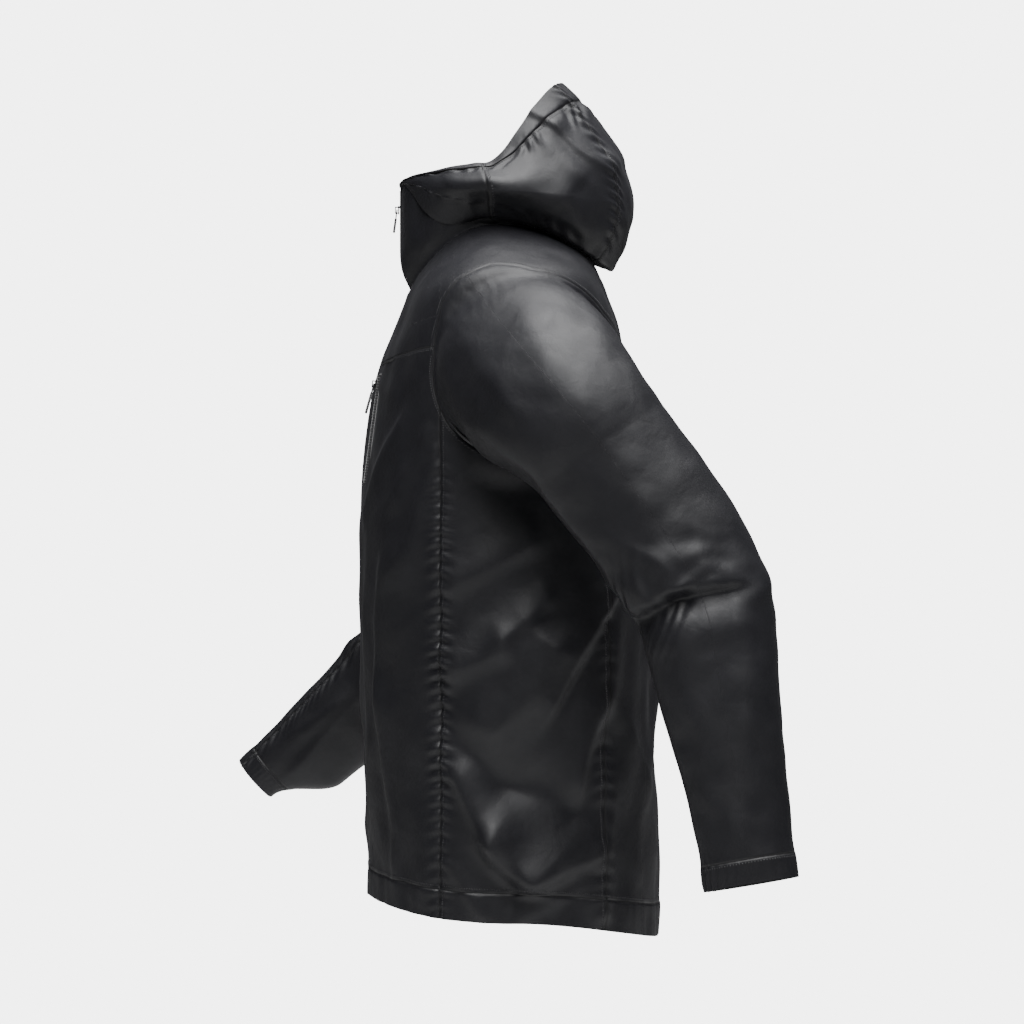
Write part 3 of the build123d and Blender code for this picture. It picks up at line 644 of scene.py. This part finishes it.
def textile(name, colour, scale, roughness=0.75, direction="Z"):
    """Ribbed tape, cord or elastic."""
    n = Nodes(name)
    place = n.coordinates("Object")
    ribs = n.wave(place, scale, direction)
    fuzz = n.noise(place, 900.0, detail=2.0)
    lighter = tuple(min(1.0, c * 2.2 + 0.004) for c in colour[:3]) + (1,)
    n.put(n.shader.inputs["Base Color"], n.mix(n.math("MULTIPLY", ribs, 0.5), colour, lighter))
    n.put(n.shader.inputs["Normal"], n.bump(fuzz, 0.0001, 0.5, n.bump(ribs, 0.0003, 0.8)))
    n.put(n.shader.inputs["Roughness"], n.span(fuzz, roughness - 0.1, roughness + 0.1))
    n.shader.inputs["Sheen Weight"].default_value = 0.3
    return n.material


def hard(name, colour, roughness, metallic=0.0, grain=250.0, depth=0.00005):
    """Moulded plastic or painted metal with fine wear."""
    n = Nodes(name)
    place = n.coordinates("Object")
    grains = n.noise(place, grain, detail=4.0)
    rubbed = n.math("POWER", n.noise(place, 60.0, detail=5.0, roughness=0.7), 4.0)
    lighter = tuple(min(1.0, c * 2.6 + 0.02) for c in colour[:3]) + (1,)
    n.put(n.shader.inputs["Base Color"], n.mix(rubbed, colour, lighter))
    n.put(n.shader.inputs["Roughness"], n.span(grains, roughness - 0.08, roughness + 0.12))
    n.put(n.shader.inputs["Normal"], n.bump(grains, depth, 0.5))
    n.shader.inputs["Metallic"].default_value = metallic
    return n.material


def materials():
    return {
        "shell": shell_cloth("shell_cloth", (0.0042, 0.0042, 0.0056, 1), (0.0078, 0.0078, 0.0100, 1), 0.50),
        "inner": inner_cloth(),
        "zip_tape": textile("zip_tape", (0.012, 0.012, 0.013, 1), 220.0),
        "zip_coil": textile("zip_coil", (0.010, 0.010, 0.011, 1), 105.0, roughness=0.42),
        "zip_metal": hard("zip_metal", (0.009, 0.009, 0.010, 1), 0.42, metallic=0.3),
        "pull_grip": textile("pull_grip", (0.016, 0.016, 0.017, 1), 160.0, roughness=0.6),
        "lock_plastic": hard("lock_plastic", (0.016, 0.016, 0.017, 1), 0.48),
        "spring_steel": hard("spring_steel", (0.42, 0.42, 0.44, 1), 0.25, metallic=1.0),
        "elastic": textile("elastic", (0.014, 0.014, 0.015, 1), 300.0),
    }


# ---- the shell ------------------------------------------------------------------------------
def nearest_seam(*distances):
    """The signed distance to the closest of several seams, which have opposite signs in turn."""
    stacked = np.stack([np.clip(d, -NO_SEAM, NO_SEAM) for d in distances])
    closest = np.abs(stacked).argmin(axis=0)
    return np.take_along_axis(stacked, closest[None], axis=0)[0]


def only_where(inside, distance):
    return np.where(inside, distance, np.copysign(NO_SEAM, distance))


def armhole_distance(points):
    """How far a point stands outside the armhole seam, seen from the side, in millimetres."""
    y, z = points[..., 1] - ARMHOLE[0], points[..., 2] - ARMHOLE[1]
    turns = np.arctan2(z, y)
    return np.hypot(y, z) - seam_radius(turns)


def seam_radius(turns):
    """Distance of the armhole seam from the shoulder's axis in a direction in radians."""
    y, z = (np.array(ARMHOLE_SEAM, float) - np.array(ARMHOLE)).T
    return np.interp(turns, np.arctan2(z, y), np.hypot(y, z), period=2 * math.pi)


def torso_grid():
    stations = np.concatenate([np.linspace(0, 1, 290), np.linspace(1, 2, 56)[1:]])[:, None]
    half_width = rows_at(TORSO, stations[:, 0])[3][:, None]
    edge = np.degrees(np.arcsin(ZIP_CHANNEL / half_width))
    angles = edge + (360 - 2 * edge) * np.linspace(0, 1, 400)[None, :]
    stations = np.broadcast_to(stations, angles.shape)
    return angles, stations, torso_ring(angles, stations)


def torso_heights(points, normals, angles, stations):
    """How far the cloth stands out from the plain shape."""
    x, y, z = np.moveaxis(points, -1, 0)
    on_body = 1 - smooth(0.93, 1.0, stations)
    heights = fold_heights(points, normals, TORSO_FOLDS) * on_body
    heights += on_body * 2.2 * ripples(points, 150, 3, (1, 1, 1.6))
    heights += on_body * 0.9 * ripples(points, 48, 4, (1, 1, 1.8))
    side_seam = y - SIDE_SEAM_Y
    side = smooth(120, 190, np.abs(x)) * (1 - smooth(-180, -120, z))
    strong = 0.35 + 0.65 * bell(z + 440, 150)
    heights += side * puckers(side_seam, z, 9, 15, 1.9, 11) * strong
    heights -= side * 1.6 * bell(side_seam, 3.2)
    back = smooth(110, 180, np.abs(x)) * (1 - smooth(-180, -120, z))
    heights += back * puckers(y - BACK_SEAM_Y, z, 8, 21, 0.6, 12)
    hem = 1 - smooth(HEM_STATION - 0.004, HEM_STATION + 0.004, stations)
    heights += hem * (1.4 + 0.5 * ripples(points, 17, 5, (1, 1, 6)))
    heights += 1.0 * ripples(points, 26, 6, (1, 1, 5)) * bell(stations - HEM_STATION, 0.03)
    collar = smooth(1.03, 1.2, stations)
    heights += collar * 1.3 * ripples(points, 34, 8, (1, 1, 3.5))
    heights += collar * 0.8 * ripples(points, 60, 9)
    heights += 1.2 * bell(stations - 1.0, 0.012)
    away_from_arm = np.where(np.abs(x) > 90, smooth(4, 34, armhole_distance(points)), 1)
    from_front = np.where(y < 0, smooth(10, 34, np.abs(x)), 1)
    return heights * away_from_arm * from_front


def torso_marks(points, stations):
    x, y, z = np.moveaxis(points, -1, 0)
    flank = (np.abs(x) > 90) & (stations < CHEST_STATION)
    side = only_where(flank, y - SIDE_SEAM_Y)
    back = only_where(flank, BACK_SEAM_Y - y)
    hem = (stations - HEM_STATION) * BODY_LENGTH
    chest = (CHEST_STATION - stations) * BODY_LENGTH
    neck = (stations - NECK) * NECK_SCALE
    upright = nearest_seam(side, back)
    level = nearest_seam(hem, chest, neck)
    arm = np.where(np.abs(x) > 60, np.clip(armhole_distance(points), -NO_SEAM, NO_SEAM), NO_SEAM)
    along = np.where(np.abs(upright) < np.abs(level), z, arc_lengths(points, 1))
    return {"seam_upright": upright, "seam_level": level, "seam_round": arm, "seam_along": along}


def build_torso(paint):
    angles, stations, plain = torso_grid()
    normals = grid_normals(plain)
    heights = torso_heights(plain, normals, angles, stations)
    points = plain + normals * heights[..., None]
    marks = torso_marks(plain, stations)
    centres = (plain[:-1, :-1] + plain[1:, 1:]) / 2
    radius = np.hypot(centres[..., 1] - ARMHOLE[0], centres[..., 2] - ARMHOLE[1])
    keep = (radius > ROOT_RADIUS) | (np.abs(centres[..., 0]) < 100)
    shell = cloth_mesh("torso_shell", points, marks, paint, keep=keep)
    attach(shell, "torso")
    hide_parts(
        "front_left_panel", "front_right_panel", "front_left_yoke", "front_right_yoke",
        "side_left_panel", "side_right_panel", "back_panel", "back_yoke", "hem_band",
        "collar_left", "collar_right", "collar_back", "side_seam_tapes",
    )
    return plain


# ---- sleeves --------------------------------------------------------------------------------
def wall_x(plain, y, z):
    """x of the torso's left wall at a given y and z, from its closest grid points."""
    wall = plain[(plain[..., 0] > 70) & (plain[..., 2] < 34)]
    found = []
    for a, b in zip(y, z):
        away = np.hypot(wall[:, 1] - a, wall[:, 2] - b) + 0.05
        close = np.argsort(away)[:6]
        weights = 1 / away[close] ** 2
        found.append((wall[close, 0] * weights).sum() / weights.sum())
    return np.array(found)


def armhole_rows(side, plain, first):
    """Rows that lie on the torso, from the armhole seam to the first row of the free sleeve."""
    turns = np.arctan2(first[:, 2] - ARMHOLE[1], first[:, 1] - ARMHOLE[0])
    rows = []
    for k in range(ARMHOLE_ROWS):
        t = k / ARMHOLE_ROWS
        radius = seam_radius(turns) * (1 - t) + (ROOT_RADIUS + 1) * t
        y = ARMHOLE[0] + radius * np.cos(turns)
        z = ARMHOLE[1] + radius * np.sin(turns)
        x = wall_x(plain, y, z) + 0.9 + 2.2 * math.sin(math.pi * min(1, t * 1.6)) + 2.0 * t
        rows.append(np.stack([x * side, y, z], -1))
    return np.array(rows)


def smoothed_head(rows):
    """The rows with the sleeve's head smoothed along the sleeve, fading out below it."""
    flow = rows.copy()
    strength = np.zeros(len(flow))
    strength[3:34] = 1
    strength[34:44] = np.linspace(1, 0, 10)
    part = strength[1:-1, None, None]
    for _ in range(14):
        middle = (flow[:-2] + 2 * flow[1:-1] + flow[2:]) / 4
        flow[1:-1] = flow[1:-1] * (1 - part) + middle * part
    return flow


def sleeve_rows(side, plain, angles):
    """Rows of the sleeve, from its sewn edge on the torso down to the cuff."""
    stations = np.concatenate([np.linspace(0.06, 0.5, 70), np.linspace(0.5, 2.0, 190)[1:]])
    grid_a, grid_s = np.meshgrid(angles, stations)
    sleeve = sleeve_ring(side, grid_a, grid_s)
    if side < 0:
        sleeve = gathered_cuff(sleeve, grid_a, grid_s)
    rows = smoothed_head(np.concatenate([armhole_rows(side, plain, sleeve[0]), sleeve]))
    station_of_row = np.concatenate([np.linspace(0, 0.055, ARMHOLE_ROWS), stations])
    return rows, np.broadcast_to(station_of_row[:, None], rows.shape[:2])


def gathered_cuff(points, angles, stations):
    """The right cuff, drawn in at its back by the elastic."""
    front = points[:, 47:48]
    share = 0.2 * smooth(1.76, 2.0, stations) * (1 - np.sin(np.radians(angles)))
    return points + (front - points) * share[..., None]


def sleeve_heights(side, points, normals, angles, stations):
    tables = LEFT_SLEEVE_FOLDS if side > 0 else RIGHT_SLEEVE_FOLDS
    heights = fold_heights(points, normals, tables)
    heights += 1.5 * ripples(points, 130, 21 + side, (1, 1, 1.6))
    heights += 0.35 * ripples(points, 38, 23 + side)
    length = arc_lengths(points, 0)
    elbow = bell(stations - 1.0, 0.16)
    inner_elbow = 0.5 + 0.5 * np.sin(np.radians(angles))
    heights += elbow * inner_elbow * np.sin(length / 4.6 + 2 * ripples(points, 80, 25))
    seam = (angles - SLEEVE_SEAM) * SLEEVE_DEGREE
    heights += puckers(seam, length, 8, 15, 1.5, 31) * smooth(1.05, 1.25, stations)
    heights -= 0.9 * bell(seam, 3) * smooth(1.02, 1.2, stations)
    gather = bell(stations - 1.965, 0.05) * (0.08 + 0.92 * bell(angles - 85, 38))
    heights += gather * 1.6 * np.sin(np.radians(angles) * 29 + 2 * ripples(points, 60, 27))
    heights += 0.5 * smooth(1.915, 1.925, stations)
    armhole = smooth(0.0, 0.04, stations)
    gathers = np.sin(np.radians(angles) * 46 + 3 * ripples(points, 90, 29))
    heights += 0.12 * gathers * bell(stations - 0.05, 0.04)
    return heights * armhole


def sleeve_marks(rows, angles, stations):
    length = arc_lengths(rows, 0)
    seam = (angles - SLEEVE_SEAM) * SLEEVE_DEGREE
    cuff = (stations - CUFF_STATION) * FOREARM_LENGTH
    return {
        "seam_upright": np.clip(seam, -NO_SEAM, NO_SEAM),
        "seam_level": np.clip(cuff, -NO_SEAM, NO_SEAM),
        "seam_round": np.full(seam.shape, NO_SEAM),
        "seam_along": np.where(np.abs(seam) < np.abs(cuff), length, angles * 0.7),
    }


def build_sleeve(side, plain, paint):
    name = "left" if side > 0 else "right"
    turn = np.arange(SLEEVE_COLUMNS) * 360 / SLEEVE_COLUMNS
    rows, stations = sleeve_rows(side, plain, turn)
    angles = np.broadcast_to(turn[None, :], stations.shape)
    normals = grid_normals(rows, True, side)
    points = rows + normals * sleeve_heights(side, rows, normals, angles, stations)[..., None]
    marks = sleeve_marks(rows, angles, stations)
    split = int(np.argmax(stations[:, 0] > SPLIT_ROW_STATION))
    upper, lower = (
        cloth_mesh(f"{name}_{part}_cloth", points[span], {k: v[span] for k, v in marks.items()},
                   paint, closed=True, hand=side)
        for part, span in (("upper", slice(0, split + 1)), ("lower", slice(split, None)))
    )
    match_normals(upper, lower, points, split, side)
    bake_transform(upper)
    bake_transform(lower)
    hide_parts(f"{name}_under_sleeve", f"{name}_top_sleeve")
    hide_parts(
        f"{name}_elbow_panel", f"{name}_forearm", f"{name}_cuff_band", f"{name}_cuff_elastic",
    )


def match_normals(upper, lower, points, split, side):
    """Give the two meshes of a sleeve the same normals where they meet."""
    normals = grid_normals(points, True, side)
    for piece, rows in ((upper, slice(0, split + 1)), (lower, slice(split, None))):
        flat = normals[rows].reshape(-1, 3)
        piece.data.normals_split_custom_set_from_vertices(np.concatenate([flat, -flat]).tolist())


# ---- hood -----------------------------------------------------------------------------------
def hood_point(angle, station):
    """The hood from angle 90 to 270, and the flap that carries it on to the front."""
    mirrored = np.where(angle > 180, 360 - angle, angle)
    sign = np.where(angle > 180, -1.0, 1.0)
    back = hood_ring(np.maximum(mirrored, 90), station)
    front = np.minimum(mirrored, 90)
    edge = hood_ring(np.full_like(front, 90.0), station)
    top = torso_ring(front, np.full_like(front, 2.0))
    outward = np.stack([np.sin(np.radians(front)), -np.cos(np.radians(front)), 0 * front], -1)
    drop = np.interp(front, [0, 25, 45, 61, 79, 90], [0, 1.5, 13, 29, 41, 44])
    down = np.stack([0 * drop, 0 * drop, -drop], -1)
    bottom = top + outward * (1.6 + 0.3 * drop)[..., None] + down
    top = top + outward * 1.6 + np.array([0, 0, 1.0])
    flap = bottom + (top - bottom) * station[..., None]
    flap = flap + outward * (0.11 * drop * np.sin(np.pi * station))[..., None]
    gap = edge - flap_end(station)
    flap = flap + gap * smooth(48, 90, front)[..., None]
    points = np.where((mirrored >= 90)[..., None], back, flap)
    return points * np.stack([sign, np.ones_like(sign), np.ones_like(sign)], -1)


def flap_end(station):
    """Where the plain flap would end beside the hood's front edge."""
    top = torso_ring(np.full_like(station, 90.0), np.full_like(station, 2.0))
    bottom = top + np.array([14.8, 0, -44.0])
    top = top + np.array([1.6, 0, 1.0])
    flap = bottom + (top - bottom) * station[..., None]
    return flap + np.stack([4.8 * np.sin(np.pi * station), 0 * station, 0 * station], -1)


def hood_grid():
    """The hood's plain points, with the cloth that goes under it down to the neck seam."""
    angles = np.linspace(ZIP_GAP, 360 - ZIP_GAP, 330)
    stations = np.linspace(0, 1, 110)
    outer = hood_point(*np.meshgrid(angles, stations))
    low = outer[0]
    neck = torso_ring(angles, np.full(len(angles), 1.08))
    spread = np.stack([np.sin(np.radians(angles)), -np.cos(np.radians(angles)), 0 * angles], -1)
    neck = neck + spread * 1.5
    from_zip = smooth(20, 80, np.where(angles > 180, 360 - angles, angles))[:, None]
    neck = low * (1 - from_zip) + neck * from_zip - spread * 1.2 * (1 - from_zip)
    under = []
    for k in range(UNDER_ROWS):
        t = (UNDER_ROWS - k) / UNDER_ROWS
        sag = 5 * math.sin(math.pi * t) * from_zip
        under.append(low * (1 - t) + neck * t - np.array([0, 0, 1.0]) * sag)
    points = np.concatenate([np.array(under), outer])
    for _ in range(3):
        points[9:17] = (points[8:16] + 2 * points[9:17] + points[10:18]) / 4
    station_of_row = np.concatenate([np.linspace(-0.2, -0.01, UNDER_ROWS), stations])
    shape = points.shape[:2]
    return np.broadcast_to(angles, shape), np.broadcast_to(station_of_row[:, None], shape), points


def hood_heights(points, normals, angles, stations):
    heights = fold_heights(points, normals, HOOD_FOLDS)
    heights += 1.3 * ripples(points, 80, 41) + 0.7 * ripples(points, 34, 42)
    strip = (HOOD_STRIP - np.abs(angles - 180)) * STRIP_DEGREE
    heights += puckers(strip, arc_lengths(points, 0), 7, 14, 1.0, 43) * smooth(0, 0.1, stations)
    heights += 1.3 * smooth(0.9, 0.915, stations) - 0.8 * bell(stations - 0.9, 0.02)
    across = arc_lengths(points, 1)
    heights += 1.2 * np.sin(across / 3.4 + 2 * ripples(points, 50, 44)) * bell(stations - 0.86, 0.05)
    heights += 0.9 * np.sin(across / 3.9 + 2 * ripples(points, 70, 45)) * bell(stations - 0.03, 0.04)
    return heights


def hood_marks(points, angles, stations):
    from_back = np.abs(angles - 180)
    strip = (HOOD_STRIP - from_back) * STRIP_DEGREE
    brim = (BRIM_STATION - stations) * HOOD_HEIGHT
    front = (90 - from_back) * FRONT_DEGREE
    along = np.where(np.abs(brim) < np.abs(strip), arc_lengths(points, 1), arc_lengths(points, 0))
    return {
        "seam_upright": np.clip(strip, -NO_SEAM, NO_SEAM),
        "seam_level": np.clip(brim, -NO_SEAM, NO_SEAM),
        "seam_round": np.clip(front, -NO_SEAM, NO_SEAM),
        "seam_along": along,
    }


def build_hood(paint):
    angles, stations, plain = hood_grid()
    normals = grid_normals(plain)
    points = plain + normals * hood_heights(plain, normals, angles, stations)[..., None]
    hood = cloth_mesh("hood_shell", points, hood_marks(plain, angles, stations), paint, thickness=1.1)
    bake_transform(hood)
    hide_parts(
        "hood_left_side", "hood_right_side", "hood_centre_panel", "hood_brim", "hood_edge_binding",
    )


# ---- trims ----------------------------------------------------------------------------------
NODE_LOOKS = {
    "zip_tape": ["main_zip_left_tape", "main_zip_right_tape", "chest_zip_tapes"],
    "zip_coil": ["main_zip_left_coil", "main_zip_right_coil", "chest_zip_coils"],
    "zip_metal": [
        "main_zip_slider", "main_zip_pull", "chest_zip_slider", "chest_zip_pull",
        "main_zip_top_stops", "main_zip_pin", "main_zip_retainer_box",
    ],
    "pull_grip": ["main_zip_pull_grip", "chest_zip_pull_grip"],
    "lock_plastic": [
        "left_hem_lock_barrel", "right_hem_lock_barrel", "hood_lock_barrel",
        "left_hem_lock_plunger", "right_hem_lock_plunger", "hood_lock_plunger",
    ],
    "spring_steel": ["left_hem_lock_spring", "right_hem_lock_spring", "hood_lock_spring"],
    "elastic": ["hem_drawcord", "hood_adjuster_cord", "hang_loop"],
    "inner": ["wind_flap", "chest_pocket_bag"],
}


def paint_nodes(paint):
    for look, names in NODE_LOOKS.items():
        for name in names:
            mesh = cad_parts[name].data
            mesh.materials.clear()
            mesh.materials.append(paint[look])
            for polygon in mesh.polygons:
                polygon.use_smooth = look not in ("inner", "zip_tape")


# ---- the studio -----------------------------------------------------------------------------
def studio_material(name, value):
    n = Nodes(name)
    n.shader.inputs["Base Color"].default_value = (value, value, value, 1)
    n.shader.inputs["Roughness"].default_value = 0.9
    n.shader.inputs["Specular IOR Level"].default_value = 0.1
    return n.material


def build_floor():
    """A round pale floor under the jacket, too low for the side view."""
    radius, floor_z, corners = 4.8, -1.45, 96
    turns = [2 * math.pi * k / corners for k in range(corners)]
    vertices = [(radius * math.cos(t), radius * math.sin(t), floor_z) for t in turns]
    mesh = bpy.data.meshes.new("studio_floor")
    mesh.from_pydata(vertices, [], [tuple(range(corners))])
    mesh.materials.append(studio_material("studio_paper", 0.8))
    floor = bpy.data.objects.new("studio_floor", mesh)
    bpy.context.scene.collection.objects.link(floor)


def area_light(name, place, target, size, power):
    light = bpy.data.lights.new(name, "AREA")
    light.shape = "RECTANGLE"
    light.size, light.size_y = size
    light.energy = power
    lamp = bpy.data.objects.new(name, light)
    lamp.location = place
    lamp.rotation_euler = (Vector(target) - Vector(place)).to_track_quat("-Z", "Y").to_euler()
    bpy.context.scene.collection.objects.link(lamp)


def build_air():
    """Pale surroundings that the camera sees at full strength and the cloth only faintly."""
    world = bpy.data.worlds.new("studio_air")
    world.use_nodes = True
    tree = world.node_tree
    background = tree.nodes["Background"]
    background.inputs["Color"].default_value = (1, 1, 1, 1)
    seen = tree.nodes.new("ShaderNodeLightPath").outputs["Is Camera Ray"]
    strength = tree.nodes.new("ShaderNodeMapRange")
    strength.inputs["To Min"].default_value = 0.02
    strength.inputs["To Max"].default_value = 5.2
    tree.links.new(seen, strength.inputs["Value"])
    tree.links.new(strength.outputs["Result"], background.inputs["Strength"])
    bpy.context.scene.world = world


def build_light_and_camera():
    area_light("overhead", (0.75, 0.2, 2.4), (0.1, 0, -0.2), (2.4, 2.4), 270)
    area_light("key", (2.7, 0.1, 2.4), (0.1, 0, -0.3), (1.6, 1.6), 105)
    area_light("floor_wash", (-1.2, 0.6, 2.6), (-1.2, 0.6, -1.4), (2.5, 2.5), 60)
    camera = bpy.data.cameras.new("camera")
    camera.sensor_width = 36
    camera.lens = 143.8
    eye = bpy.data.objects.new("camera", camera)
    eye.location = (4.5, 0.024, -0.275)
    eye.rotation_euler = (math.radians(90), 0, math.radians(90))
    bpy.context.scene.collection.objects.link(eye)
    bpy.context.scene.camera = eye


# ---- everything -----------------------------------------------------------------------------
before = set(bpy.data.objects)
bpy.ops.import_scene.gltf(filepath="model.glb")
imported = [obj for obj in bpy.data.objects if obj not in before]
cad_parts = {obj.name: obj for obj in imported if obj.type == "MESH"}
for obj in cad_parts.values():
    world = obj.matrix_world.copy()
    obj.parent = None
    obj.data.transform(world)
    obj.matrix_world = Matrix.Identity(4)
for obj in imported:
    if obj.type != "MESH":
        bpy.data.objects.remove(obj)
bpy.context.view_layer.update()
paint = materials()
paint_nodes(paint)
plain_torso = build_torso(paint)
for arm in (1, -1):
    build_sleeve(arm, plain_torso, paint)
build_hood(paint)
build_floor()
build_air()
build_light_and_camera()
